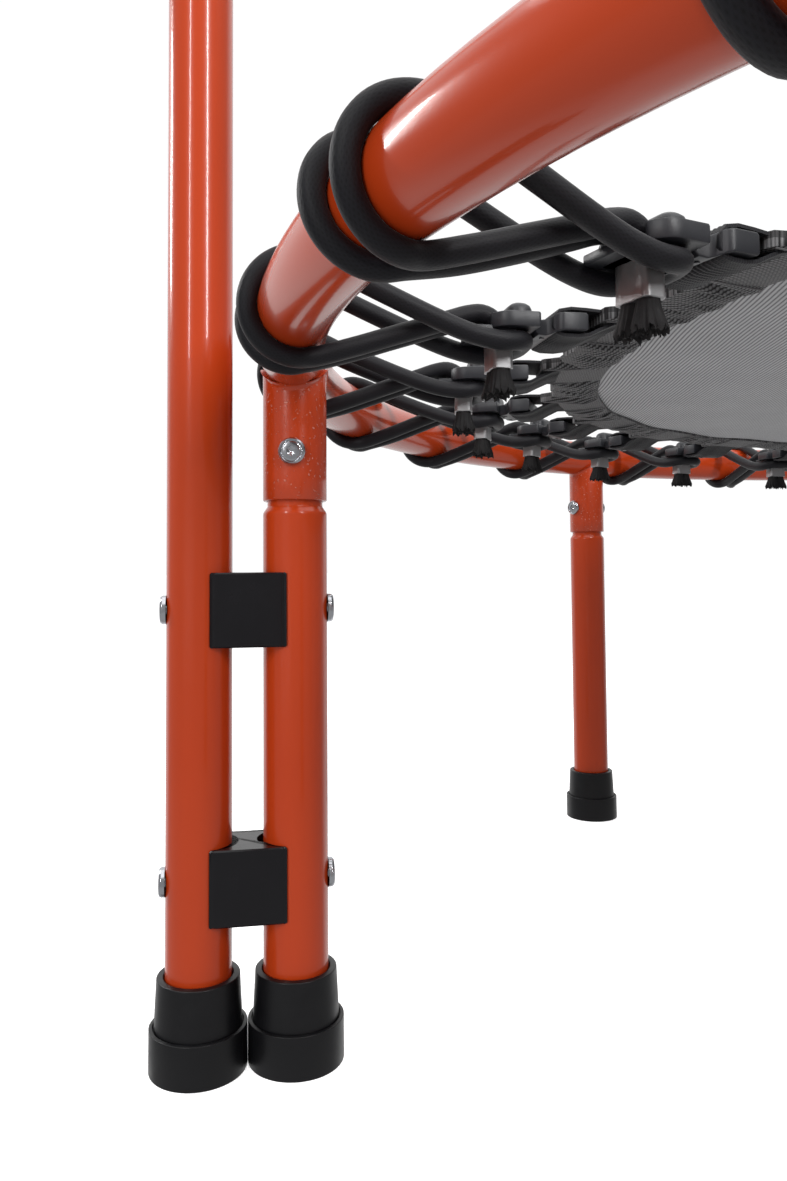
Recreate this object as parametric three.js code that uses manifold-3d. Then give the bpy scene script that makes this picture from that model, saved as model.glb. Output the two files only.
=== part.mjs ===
// Bungee rebounder: a mini trampoline with a tubular steel ring on six legs, a jumping mat hung from
// elastic cords, and a height-adjustable handlebar bolted to two neighbouring legs.
// Millimetres, +Z up. The origin is on the floor under the centre of the ring, and the handlebar is
// on the -Y side. Azimuths are degrees about +Z, from +X.
import * as THREE from "three";
import { mergeVertices } from "three/addons/utils/BufferGeometryUtils.js";
import Module from "manifold-3d";

const wasm = await Module();
wasm.setup();

// Driving dimensions.
const RING_RADIUS = 492; // centre line of the ring tube
const RING_HEIGHT = 344; // centre line of the ring tube above the floor
const TUBE_RADIUS = 16; // ring, sockets, legs and uprights are all 32 mm tube
const TUBE_WALL = 1.8;
const TUBE_SIDES = 14; // facets round every straight 32 mm tube
const HOLE_SIDES = 8;
const GAP = 0.3; // assembly clearance between separate pieces

const LEG_COUNT = 6;
const HANDLEBAR_LEGS = [4, 5]; // the two legs that carry the handlebar, either side of -Y

const SOCKET_BOTTOM = 272.5;
const SOCKET_BORE = 14.1;
const SOCKET_BORE_TOP = 320;
const VENT_RADIUS = 4; // hole from the socket into the ring tube
const WELD_RADIUS = 19; // foot of the weld fillet against the ring
const WELD_HEIGHT = 9;

const SPIGOT_RADIUS = 13.6;
const SPIGOT_TOP = 316;
const SHOULDER_TOP = 271.5;
const SHOULDER_BOTTOM = 266;
const LEG_BOTTOM = 6;

const LEG_BOLT_HEIGHT = 296;
const CLAMP_BOLT_HEIGHTS = { lower: 88, upper: 219 };
const BOLT_RADIUS = 3;
const BOLT_HOLE_RADIUS = 3.5;
const BOLT_HEAD_RADIUS = 6.5;
const BOLT_HEAD_HEIGHT = 3.6;

const FOOT_HEIGHT = 44;
const FOOT_STEP = 20;
const FOOT_RIM_RADIUS = 19.9;
const FOOT_WAIST_RADIUS = 20.9;
const FOOT_LEDGE_RADIUS = 23;
const FOOT_BASE_RADIUS = 23.3; // two feet stand side by side under a leg and its upright

const UPRIGHT_SPACING = 47; // leg axis to upright axis
const UPRIGHT_TURN = 9; // degrees from radial towards the handlebar's own centre plane
const UPRIGHT_TOP = 720;

const SPACER_WIDTH = 36.6;
const SPACER_DEPTH = 33;
const SPACER_HEIGHT = 36;
const SPACER_ARC_CENTRE = 20.9; // of each concave side, from the middle of the spacer
const SPACER_ARC_RADIUS = 16.3;

const BAR_RADIUS = 13.4; // tube of the handlebar's upper part, which slides in the uprights
const BAR_BOTTOM = 480;
const BAR_TOP = 1060; // centre line of the horizontal stretch
const BAR_BEND = 90;
const GRIP_LENGTH = 330;
const GRIP_RADIUS = 20;

const KNOB_HEIGHT = 690;
const KNOB_RADIUS = 17;
const KNOB_THICKNESS = 14;
const KNOB_LOBES = 6;
const KNOB_STEM_RADIUS = 4;
const BOSS_RADIUS = 8;
const BOSS_LENGTH = 5; // how far the threaded boss stands out of the upright

const CORD_COUNT = 24;
const CORD_AZIMUTH = 10.2; // first cord, from the leg at azimuth 0
const CORD_RADIUS = 4;
const WRAP_RADIUS = TUBE_RADIUS + CORD_RADIUS + 1.3; // cord centre line around the ring
const WRAP_SPREAD = 15.5; // half the distance between a cord's two turns on the ring
const FERRULE = { radial: 10, across: 18, height: 22 }; // the crimp and the cord's cut ends below it

const MAT_RADIUS = 350;
const MESH_RADIUS = 331;
const MAT_HEIGHT = 345;
const MAT_THICKNESS = 2.4;
const BORDER_THICKNESS = 10;

const HOOK_TIP = 414; // radius of the hook's outer end
const HOOK_HOLE = 398.5; // radius of the hole for the cord's ends
const HOOK_POST = 384; // radius of the post that the cord's fold goes round
const HOOK_ROOT = 340;
const HOOK_WIDTH = 24;
const PLATE_BOTTOM = 336;
const PLATE_TOP = 340.4;
const POST_RADIUS = 7.4;
const HEAD_BOTTOM = 349.3;
const HEAD_TOP = 354.6;
const BIGHT_RADIUS = 12.9; // of the cord's fold, to its centre line
const BIGHT_HEIGHT = PLATE_TOP + CORD_RADIUS + 0.6;

const MATERIALS = {
  paint: { color: 0xc8401a, roughness: 0.28, metalness: 0 },
  steel: { color: 0xc4c6c8, roughness: 0.25, metalness: 1 },
  rubber: { color: 0x1c1b1d, roughness: 0.55, metalness: 0 },
  plastic: { color: 0x232225, roughness: 0.4, metalness: 0 },
  foam: { color: 0x1a1a1b, roughness: 0.9, metalness: 0 },
  cord: { color: 0x1b1b1e, roughness: 0.8, metalness: 0 },
  mat: { color: 0x5d5e62, roughness: 0.75, metalness: 0 },
};

const rebounder = new THREE.Group();

const radians = THREE.MathUtils.degToRad;

// A point at a radius, a sideways offset (positive anticlockwise) and a height, at an azimuth.
function polar(azimuth, radius, across = 0, height = 0) {
  const a = radians(azimuth);
  return new THREE.Vector3(
    radius * Math.cos(a) - across * Math.sin(a),
    radius * Math.sin(a) + across * Math.cos(a),
    height,
  );
}

// A closed geometry as a solid that can be joined and cut.
function solid(geometry, matrix = new THREE.Matrix4()) {
  const bare = geometry.clone().applyMatrix4(matrix);
  bare.deleteAttribute("normal");
  bare.deleteAttribute("uv");
  const merged = mergeVertices(bare, 1e-3);
  return new wasm.Manifold(
    new wasm.Mesh({
      numProp: 3,
      vertProperties: merged.attributes.position.array,
      triVerts: new Uint32Array(merged.index.array),
    }),
  );
}

function geometryOf(made) {
  const { numProp, numVert, vertProperties, triVerts } = made.getMesh();
  const positions = new Float32Array(numVert * 3);
  for (let i = 0; i < numVert; i++) {
    positions.set(vertProperties.subarray(i * numProp, i * numProp + 3), i * 3);
  }
  const geometry = new THREE.BufferGeometry();
  geometry.setAttribute("position", new THREE.BufferAttribute(positions, 3));
  geometry.setIndex(new THREE.BufferAttribute(triVerts, 1));
  geometry.computeVertexNormals();
  return geometry;
}

function addPiece(name, made, material) {
  const mesh = new THREE.Mesh(
    geometryOf(made),
    new THREE.MeshStandardMaterial(MATERIALS[material]),
  );
  mesh.name = name;
  rebounder.add(mesh);
}

function move(x, y, z) {
  return new THREE.Matrix4().makeTranslation(x, y, z);
}

// Turns a piece made at azimuth 0 to another azimuth.
function turn(azimuth) {
  return new THREE.Matrix4().makeRotationZ(radians(azimuth));
}

// A profile of [radius, height] pairs turned about +Z.
function turned(profile, segments) {
  const points = profile.map(([r, z]) => new THREE.Vector2(r, z));
  return solid(new THREE.LatheGeometry(points, segments).rotateX(Math.PI / 2));
}

// A round rod from z = bottom to z = top.
function rod(radius, bottom, top, segments = TUBE_SIDES) {
  return turned([[0, bottom], [radius, bottom], [radius, top], [0, top]], segments);
}

function block([x0, y0, z0], [x1, y1, z1]) {
  const box = new THREE.BoxGeometry(x1 - x0, y1 - y0, z1 - z0);
  return solid(box, move((x0 + x1) / 2, (y0 + y1) / 2, (z0 + z1) / 2));
}

// A solid made along +Z, laid along a horizontal direction through a point.
function laid(made, point, azimuth) {
  const along = new THREE.Vector3(0, 0, 1);
  const to = polar(azimuth, 1);
  const q = new THREE.Quaternion().setFromUnitVectors(along, to);
  const matrix = new THREE.Matrix4().compose(point, q, new THREE.Vector3(1, 1, 1));
  return made.transform(matrix.toArray());
}

// A path that passes through its own points, so that a tube bends only where they say.
class PointPath extends THREE.Curve {
  constructor(points) {
    super();
    this.points = points;
  }

  getPointAt(u) {
    const last = this.points.length - 1;
    const place = u * last;
    const i = Math.min(Math.floor(place + 1e-9), last - 1);
    return this.points[i].clone().lerp(this.points[i + 1], place - i);
  }

  getTangentAt(u) {
    const last = this.points.length - 1;
    const i = Math.round(u * last);
    const before = this.points[Math.max(i - 1, 0)];
    const after = this.points[Math.min(i + 1, last)];
    return after.clone().sub(before).normalize();
  }
}

function tube(points, radius, sides) {
  const corners = Array.from({ length: sides }, (_, i) => {
    const a = (2 * Math.PI * i) / sides;
    return new THREE.Vector2(radius * Math.cos(a), radius * Math.sin(a));
  });
  const section = new THREE.Shape(corners);
  const geometry = new THREE.ExtrudeGeometry(section, {
    extrudePath: new PointPath(points),
    steps: points.length - 1,
    bevelEnabled: false,
  });
  return solid(geometry);
}

// Points on an arc in the plane of two unit vectors, from one angle to another in equal steps.
function arc(centre, u, v, radius, from, to, steps) {
  return Array.from({ length: steps + 1 }, (_, i) => {
    const a = radians(from + ((to - from) * i) / steps);
    return centre
      .clone()
      .addScaledVector(u, radius * Math.cos(a))
      .addScaledVector(v, radius * Math.sin(a));
  });
}

// Where the handlebar's uprights stand, and the direction from each leg to its upright.
function uprightPlace(leg) {
  const azimuth = (leg * 360) / LEG_COUNT;
  const towardsCentrePlane = Math.sign(270 - azimuth);
  const direction = azimuth + towardsCentrePlane * UPRIGHT_TURN;
  const legAxis = polar(azimuth, RING_RADIUS);
  const axis = legAxis.clone().add(polar(direction, UPRIGHT_SPACING));
  return { azimuth, direction, legAxis, axis };
}

// A bolt with a button head at each end, along +Z and centred on the origin.
function doubleHeadBolt(grip) {
  const seat = grip / 2 + GAP;
  const crown = seat + BOLT_HEAD_HEIGHT;
  const half = [
    [BOLT_RADIUS, seat],
    [BOLT_HEAD_RADIUS, seat],
    [BOLT_HEAD_RADIUS * 0.8, crown - 0.5],
    [0, crown],
  ];
  const mirrored = half.map(([r, z]) => [r, -z]).reverse();
  return turned([...mirrored, ...half], 10);
}

function makeRingFrame() {
  const ring = solid(new THREE.TorusGeometry(RING_RADIUS, TUBE_RADIUS, 10, 54), move(0, 0, RING_HEIGHT));
  const inside = solid(
    new THREE.TorusGeometry(RING_RADIUS, TUBE_RADIUS - TUBE_WALL, 6, 36),
    move(0, 0, RING_HEIGHT),
  );
  const ringBottom = RING_HEIGHT - TUBE_RADIUS;
  let frame = ring;
  let cuts = inside;
  for (let leg = 0; leg < LEG_COUNT; leg++) {
    const azimuth = (leg * 360) / LEG_COUNT;
    const at = polar(azimuth, RING_RADIUS);
    const socket = turned(
      [
        [0, SOCKET_BOTTOM],
        [TUBE_RADIUS, SOCKET_BOTTOM],
        [TUBE_RADIUS, ringBottom - WELD_HEIGHT],
        [WELD_RADIUS, ringBottom + 3],
        [0, RING_HEIGHT],
      ],
      TUBE_SIDES,
    );
    frame = frame.add(socket.translate(at.x, at.y, 0));
    const bore = rod(SOCKET_BORE, SOCKET_BOTTOM - 1, SOCKET_BORE_TOP);
    const vent = rod(VENT_RADIUS, SOCKET_BORE_TOP - 1, RING_HEIGHT, HOLE_SIDES);
    cuts = cuts.add(bore.add(vent).translate(at.x, at.y, 0));
    const hole = rod(BOLT_HOLE_RADIUS, -2 * TUBE_RADIUS, 2 * TUBE_RADIUS, HOLE_SIDES);
    at.z = LEG_BOLT_HEIGHT;
    cuts = cuts.add(laid(hole, at, azimuth + 90));
  }
  addPiece("ring_frame", frame.subtract(cuts), "paint");
}

function makeLeg(leg) {
  const azimuth = (leg * 360) / LEG_COUNT;
  const inner = TUBE_RADIUS - TUBE_WALL;
  let made = turned(
    [
      [inner, LEG_BOTTOM + GAP],
      [TUBE_RADIUS, LEG_BOTTOM + GAP],
      [TUBE_RADIUS, SHOULDER_BOTTOM],
      [SPIGOT_RADIUS, SHOULDER_TOP],
      [SPIGOT_RADIUS, SPIGOT_TOP],
      [SPIGOT_RADIUS - TUBE_WALL, SPIGOT_TOP],
      [SPIGOT_RADIUS - TUBE_WALL, SHOULDER_TOP],
      [inner, SHOULDER_BOTTOM],
      [inner, LEG_BOTTOM + GAP],
    ],
    TUBE_SIDES,
  );
  const at = polar(azimuth, RING_RADIUS);
  made = made.translate(at.x, at.y, 0);
  const hole = rod(BOLT_HOLE_RADIUS, -2 * TUBE_RADIUS, 2 * TUBE_RADIUS, HOLE_SIDES);
  made = made.subtract(laid(hole, polar(azimuth, RING_RADIUS, 0, LEG_BOLT_HEIGHT), azimuth + 90));
  if (HANDLEBAR_LEGS.includes(leg)) {
    const { direction, legAxis } = uprightPlace(leg);
    for (const height of Object.values(CLAMP_BOLT_HEIGHTS)) {
      made = made.subtract(laid(hole, legAxis.clone().setZ(height), direction));
    }
  }
  addPiece(`leg_${leg + 1}`, made, "paint");
}

function makeFoot(name, x, y) {
  const bore = TUBE_RADIUS + GAP;
  const foot = turned(
    [
      [0, 0],
      [FOOT_BASE_RADIUS, 0],
      [FOOT_LEDGE_RADIUS, FOOT_STEP],
      [FOOT_WAIST_RADIUS, FOOT_STEP],
      [FOOT_RIM_RADIUS, FOOT_HEIGHT],
      [bore, FOOT_HEIGHT],
      [bore, LEG_BOTTOM],
      [0, LEG_BOTTOM],
    ],
    TUBE_SIDES,
  );
  addPiece(name, foot.translate(x, y, 0), "rubber");
}

function makeLegBolt(leg) {
  const azimuth = (leg * 360) / LEG_COUNT;
  const bolt = doubleHeadBolt(2 * TUBE_RADIUS);
  const at = polar(azimuth, RING_RADIUS, 0, LEG_BOLT_HEIGHT);
  addPiece(`leg_bolt_${leg + 1}`, laid(bolt, at, azimuth + 90), "steel");
}

// The H-shaped block between a leg and its upright, with a concave side for each tube.
function makeSpacer(name, leg, height) {
  const { direction, legAxis } = uprightPlace(leg);
  const w = SPACER_WIDTH / 2;
  const d = SPACER_DEPTH / 2;
  const lip = Math.asin(
    Math.sqrt(SPACER_ARC_RADIUS ** 2 - (SPACER_ARC_CENTRE - w) ** 2) / SPACER_ARC_RADIUS,
  );
  const shape = new THREE.Shape();
  shape.moveTo(-w, -d);
  shape.lineTo(w, -d);
  shape.absarc(SPACER_ARC_CENTRE, 0, SPACER_ARC_RADIUS, Math.PI + lip, Math.PI - lip, true);
  shape.lineTo(w, d);
  shape.lineTo(-w, d);
  shape.absarc(-SPACER_ARC_CENTRE, 0, SPACER_ARC_RADIUS, lip, -lip, true);
  const plain = solid(
    new THREE.ExtrudeGeometry(shape, {
      depth: SPACER_HEIGHT,
      curveSegments: 5,
      bevelEnabled: false,
    }),
    move(0, 0, -SPACER_HEIGHT / 2),
  );
  const hole = rod(BOLT_HOLE_RADIUS, -SPACER_WIDTH, SPACER_WIDTH, HOLE_SIDES);
  const made = plain.subtract(laid(hole, new THREE.Vector3(), 0));
  const middle = legAxis.clone().add(polar(direction, UPRIGHT_SPACING / 2, 0, height));
  const matrix = move(middle.x, middle.y, height).multiply(turn(direction));
  addPiece(name, made.transform(matrix.toArray()), "plastic");
}

function makeClampBolt(name, leg, height) {
  const { direction, legAxis } = uprightPlace(leg);
  const bolt = doubleHeadBolt(UPRIGHT_SPACING + 2 * TUBE_RADIUS);
  const middle = legAxis.clone().add(polar(direction, UPRIGHT_SPACING / 2));
  addPiece(name, laid(bolt, middle.setZ(height), direction), "steel");
}

// The lower tube of the handlebar, with the threaded boss for its height knob on the -Y side.
function makeUpright(name, leg) {
  const { direction, axis } = uprightPlace(leg);
  const inner = TUBE_RADIUS - TUBE_WALL;
  const outside = rod(TUBE_RADIUS, LEG_BOTTOM + GAP, UPRIGHT_TOP).translate(axis.x, axis.y, 0);
  const bore = rod(inner, 0, UPRIGHT_TOP + 1).translate(axis.x, axis.y, 0);
  const bossEnd = TUBE_RADIUS + BOSS_LENGTH;
  const knobAxis = axis.clone().setZ(KNOB_HEIGHT);
  const boss = laid(rod(BOSS_RADIUS, 0, bossEnd, 6), knobAxis, 270);
  const threadRadius = (KNOB_STEM_RADIUS + GAP) / Math.cos(Math.PI / HOLE_SIDES); // clear as it turns
  const thread = laid(rod(threadRadius, 0, bossEnd + 1, HOLE_SIDES), knobAxis, 270);
  let made = outside.add(boss).subtract(bore).subtract(thread);
  const hole = rod(BOLT_HOLE_RADIUS, -2 * TUBE_RADIUS, 2 * TUBE_RADIUS, HOLE_SIDES);
  for (const height of Object.values(CLAMP_BOLT_HEIGHTS)) {
    made = made.subtract(laid(hole, axis.clone().setZ(height), direction));
  }
  addPiece(name, made, "paint");
}

// A lobed hand knob on a threaded stem that presses on the sliding tube.
function makeKnob(name, leg) {
  const { axis } = uprightPlace(leg);
  const shape = new THREE.Shape();
  const steps = KNOB_LOBES * 4;
  for (let i = 0; i < steps; i++) {
    const a = (2 * Math.PI * i) / steps;
    const r = KNOB_RADIUS - 1.8 * (1 - Math.cos(KNOB_LOBES * a));
    if (i === 0) shape.moveTo(r, 0);
    else shape.lineTo(r * Math.cos(a), r * Math.sin(a));
  }
  const hand = solid(
    new THREE.ExtrudeGeometry(shape, { depth: KNOB_THICKNESS, bevelEnabled: false }),
    move(0, 0, TUBE_RADIUS + BOSS_LENGTH + GAP),
  );
  const stem = rod(KNOB_STEM_RADIUS, BAR_RADIUS + GAP, TUBE_RADIUS + BOSS_LENGTH + 1, HOLE_SIDES);
  addPiece(name, laid(hand.add(stem), axis.clone().setZ(KNOB_HEIGHT), 270), "plastic");
}

function makeHandlebar() {
  const [left, right] = HANDLEBAR_LEGS.map((leg) => uprightPlace(leg).axis);
  const x = new THREE.Vector3(1, 0, 0);
  const z = new THREE.Vector3(0, 0, 1);
  const bendHeight = BAR_TOP - BAR_BEND;
  const leftBend = new THREE.Vector3(left.x + BAR_BEND, left.y, bendHeight);
  const rightBend = new THREE.Vector3(right.x - BAR_BEND, right.y, bendHeight);
  const path = (ends) => [
    left.clone().setZ(BAR_BOTTOM - ends),
    ...arc(leftBend, x, z, BAR_BEND, 180, 90, 6),
    ...arc(rightBend, x, z, BAR_BEND, 90, 0, 6),
    right.clone().setZ(BAR_BOTTOM - ends),
  ];
  const bar = tube(path(0), BAR_RADIUS, 12).subtract(tube(path(1), BAR_RADIUS - TUBE_WALL, 8));
  addPiece("handlebar", bar, "paint");

  const bore = (BAR_RADIUS + GAP) / Math.cos(Math.PI / TUBE_SIDES); // its facets clear the bar
  const half = GRIP_LENGTH / 2;
  const grip = turned(
    [[bore, -half], [GRIP_RADIUS, -half], [GRIP_RADIUS, half], [bore, half], [bore, -half]],
    TUBE_SIDES,
  );
  addPiece("foam_grip", laid(grip, new THREE.Vector3(0, left.y, BAR_TOP), 0), "foam");
}

// One hook of the mat, along +X from its root on the mat to its outer end.
function hook() {
  const half = HOOK_WIDTH / 2;
  const plate = block([HOOK_ROOT, -half, PLATE_BOTTOM], [HOOK_TIP, half, PLATE_TOP]);
  const hole = block([HOOK_HOLE - 5.5, -9, PLATE_BOTTOM - 1], [HOOK_HOLE + 7, 9, PLATE_TOP + 1]);
  const post = rod(POST_RADIUS, PLATE_TOP - 1, HEAD_BOTTOM + 1, 6).translate(HOOK_POST, 0, 0);
  const head = block([HOOK_POST - 18, -half, HEAD_BOTTOM], [HOOK_POST + 1, half, HEAD_TOP]);
  return plate.subtract(hole).add(post).add(head);
}

// The woven mat with its thicker sewn border, and the hooks that its webbing loops hold.
function makeMat() {
  const edge = BORDER_THICKNESS / 2;
  const thin = MAT_THICKNESS / 2;
  let mat = turned(
    [
      [0, MAT_HEIGHT - thin],
      [MESH_RADIUS, MAT_HEIGHT - thin],
      [MESH_RADIUS, MAT_HEIGHT - edge],
      [MAT_RADIUS, MAT_HEIGHT - edge],
      [MAT_RADIUS, MAT_HEIGHT + edge],
      [MESH_RADIUS, MAT_HEIGHT + edge],
      [MESH_RADIUS, MAT_HEIGHT + thin],
      [0, MAT_HEIGHT + thin],
    ],
    48,
  );
  for (let i = 0; i < CORD_COUNT; i++) {
    const azimuth = CORD_AZIMUTH + (i * 360) / CORD_COUNT;
    mat = mat.add(hook().transform(turn(azimuth).toArray()));
  }
  addPiece("jump_mat", mat, "mat");
}

// One strand of a cord, along azimuth 0: from the fold over the ring, round it, back beneath it, over
// the hook's outer end and down into the ferrule. side is +1 or -1.
function strand(side) {
  const radial = new THREE.Vector3(1, 0, 0);
  const up = new THREE.Vector3(0, 0, 1);
  const ringCentre = new THREE.Vector3(RING_RADIUS, side * WRAP_SPREAD, RING_HEIGHT);
  const wrap = arc(ringCentre, radial, up, WRAP_RADIUS, 101, -106, 6);
  const near = side * (CORD_RADIUS + GAP);
  return [
    ...wrap,
    new THREE.Vector3(HOOK_TIP + 2, near, PLATE_TOP + 5),
    new THREE.Vector3(HOOK_HOLE + 7, near, PLATE_TOP + 7),
    new THREE.Vector3(HOOK_HOLE, near, PLATE_TOP - 1),
    new THREE.Vector3(HOOK_HOLE, near, PLATE_BOTTOM - 4),
  ];
}

// An elastic cord folded round its hook's post, with both ends crimped in one ferrule.
function makeCord(i) {
  const fold = arc(
    new THREE.Vector3(HOOK_POST, 0, BIGHT_HEIGHT),
    new THREE.Vector3(-1, 0, 0),
    new THREE.Vector3(0, 1, 0),
    BIGHT_RADIUS,
    90,
    -90,
    4,
  );
  const route = [...strand(1).reverse(), ...fold, ...strand(-1)];
  const { radial, across, height } = FERRULE;
  const top = PLATE_BOTTOM - 1;
  const ferrule = block(
    [HOOK_HOLE - radial / 2, -across / 2, top - height],
    [HOOK_HOLE + radial / 2, across / 2, top],
  );
  const azimuth = CORD_AZIMUTH + (i * 360) / CORD_COUNT;
  const made = tube(route, CORD_RADIUS, 5).add(ferrule);
  const name = `bungee_${String(i + 1).padStart(2, "0")}`;
  addPiece(name, made.transform(turn(azimuth).toArray()), "cord");
}

makeRingFrame();
for (let leg = 0; leg < LEG_COUNT; leg++) {
  const { x, y } = polar((leg * 360) / LEG_COUNT, RING_RADIUS);
  makeLeg(leg);
  makeLegBolt(leg);
  makeFoot(`leg_foot_${leg + 1}`, x, y);
}
HANDLEBAR_LEGS.forEach((leg, index) => {
  const side = ["left", "right"][index];
  const { axis } = uprightPlace(leg);
  makeUpright(`upright_${side}`, leg);
  makeFoot(`upright_foot_${side}`, axis.x, axis.y);
  makeKnob(`height_knob_${side}`, leg);
  for (const [place, height] of Object.entries(CLAMP_BOLT_HEIGHTS)) {
    makeSpacer(`spacer_${side}_${place}`, leg, height);
    makeClampBolt(`clamp_bolt_${side}_${place}`, leg, height);
  }
});
makeHandlebar();
makeMat();
for (let i = 0; i < CORD_COUNT; i++) makeCord(i);

export default rebounder;
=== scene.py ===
"""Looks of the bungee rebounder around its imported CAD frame: metres, +Z up, ring centred on the origin."""

import math

import bmesh
import bpy
import numpy as np
from mathutils import Matrix, Vector


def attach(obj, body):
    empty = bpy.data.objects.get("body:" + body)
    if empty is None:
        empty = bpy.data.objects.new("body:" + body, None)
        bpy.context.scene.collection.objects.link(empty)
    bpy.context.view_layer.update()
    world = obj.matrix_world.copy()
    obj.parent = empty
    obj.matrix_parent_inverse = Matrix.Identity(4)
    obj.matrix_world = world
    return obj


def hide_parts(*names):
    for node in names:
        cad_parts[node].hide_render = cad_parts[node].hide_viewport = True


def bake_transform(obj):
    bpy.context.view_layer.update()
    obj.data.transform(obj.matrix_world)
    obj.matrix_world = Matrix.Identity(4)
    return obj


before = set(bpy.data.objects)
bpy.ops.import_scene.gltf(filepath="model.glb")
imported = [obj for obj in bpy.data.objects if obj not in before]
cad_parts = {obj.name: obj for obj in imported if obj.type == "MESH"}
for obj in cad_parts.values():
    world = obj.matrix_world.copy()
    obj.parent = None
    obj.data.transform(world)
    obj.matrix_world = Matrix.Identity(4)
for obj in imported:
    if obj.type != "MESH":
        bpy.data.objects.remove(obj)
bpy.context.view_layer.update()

MM = 0.001

# The same sizes as the CAD model, in millimetres.
RING_RADIUS = 492
RING_HEIGHT = 344
TUBE_RADIUS = 16
TUBE_WALL = 1.8
LEG_COUNT = 6
HANDLEBAR_LEGS = {"left": 240, "right": 300}
SOCKET_BOTTOM = 272.5
SHOULDER_BOTTOM = 266.5
NECK_RADIUS = 13.8
LEG_BOTTOM = 6
LEG_BOLT_HEIGHT = 296
CLAMP_BOLT_HEIGHTS = {"lower": 88, "upper": 219}
UPRIGHT_SPACING = 47
UPRIGHT_TURN = 9
UPRIGHT_TOP = 720
SPACER_HEIGHT = 36
BAR_RADIUS = 13.4
BAR_BOTTOM = 480
BAR_TOP = 1060
BAR_BEND = 90
GRIP_LENGTH = 330
GRIP_RADIUS = 20
KNOB_HEIGHT = 690
CORD_COUNT = 24
CORD_AZIMUTH = 10.2
CORD_SECTION = 4.15
MAT_HEIGHT = 345
MESH_RADIUS = 331

# Sizes that only the looks need, in millimetres.
CORNER = 0.5
NECK_TOP = 316
FOOT_RADIUS = 23.48
FOOT_LEDGE = 20.4
FOOT_TOP = 43.9
COLLAR_HEIGHT = 26
FERRULE_PLACE = 404.6
POST_PLACE = 397
STRAP_WIDTH = 30.8
POCKET_RADIUS = 352
MESH_EDGE = 3

# The studio's brightness behind the object, behind the camera and below the horizon.
STUDIO_BRIGHT = 1.02
STUDIO_DIM = 0.37
STUDIO_BELOW = 0.48

# The camera: its place, where it points, and a small lens shift that keeps the uprights upright.
CAMERA_PLACE = Vector((171.7, -619.6, 238.6)) * MM
CAMERA_AZIMUTH = 149.22
CAMERA_PITCH = 2.73
CAMERA_ROLL = -0.41
CAMERA_LENS = 27.74
CAMERA_SENSOR = 36
CAMERA_SHIFT = (0.0035, -0.0556)


def polar(azimuth, radius, across=0, height=0):
    """A point at a radius, a sideways offset and a height, all in mm, at an azimuth in degrees."""
    a = math.radians(azimuth)
    x = radius * math.cos(a) - across * math.sin(a)
    y = radius * math.sin(a) + across * math.cos(a)
    return Vector((x, y, height)) * MM


def make_camera():
    azimuth = math.radians(CAMERA_AZIMUTH)
    pitch = math.radians(CAMERA_PITCH)
    roll = math.radians(CAMERA_ROLL)
    forward = Vector(
        (math.cos(pitch) * math.cos(azimuth), math.cos(pitch) * math.sin(azimuth), math.sin(pitch))
    )
    level = Vector((math.sin(azimuth), -math.cos(azimuth), 0))
    upright = level.cross(forward)
    right = level * math.cos(roll) + upright * math.sin(roll)
    up = right.cross(forward)
    data = bpy.data.cameras.new("camera")
    data.lens = CAMERA_LENS
    data.sensor_width = CAMERA_SENSOR
    data.shift_x, data.shift_y = CAMERA_SHIFT
    data.clip_start = 0.01
    camera = bpy.data.objects.new("camera", data)
    axes = Matrix((right, up, -forward)).transposed().to_4x4()
    camera.matrix_world = Matrix.Translation(CAMERA_PLACE) @ axes
    bpy.context.scene.collection.objects.link(camera)
    bpy.context.scene.camera = camera


make_camera()


# ---------------------------------------------------------------- materials


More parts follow.
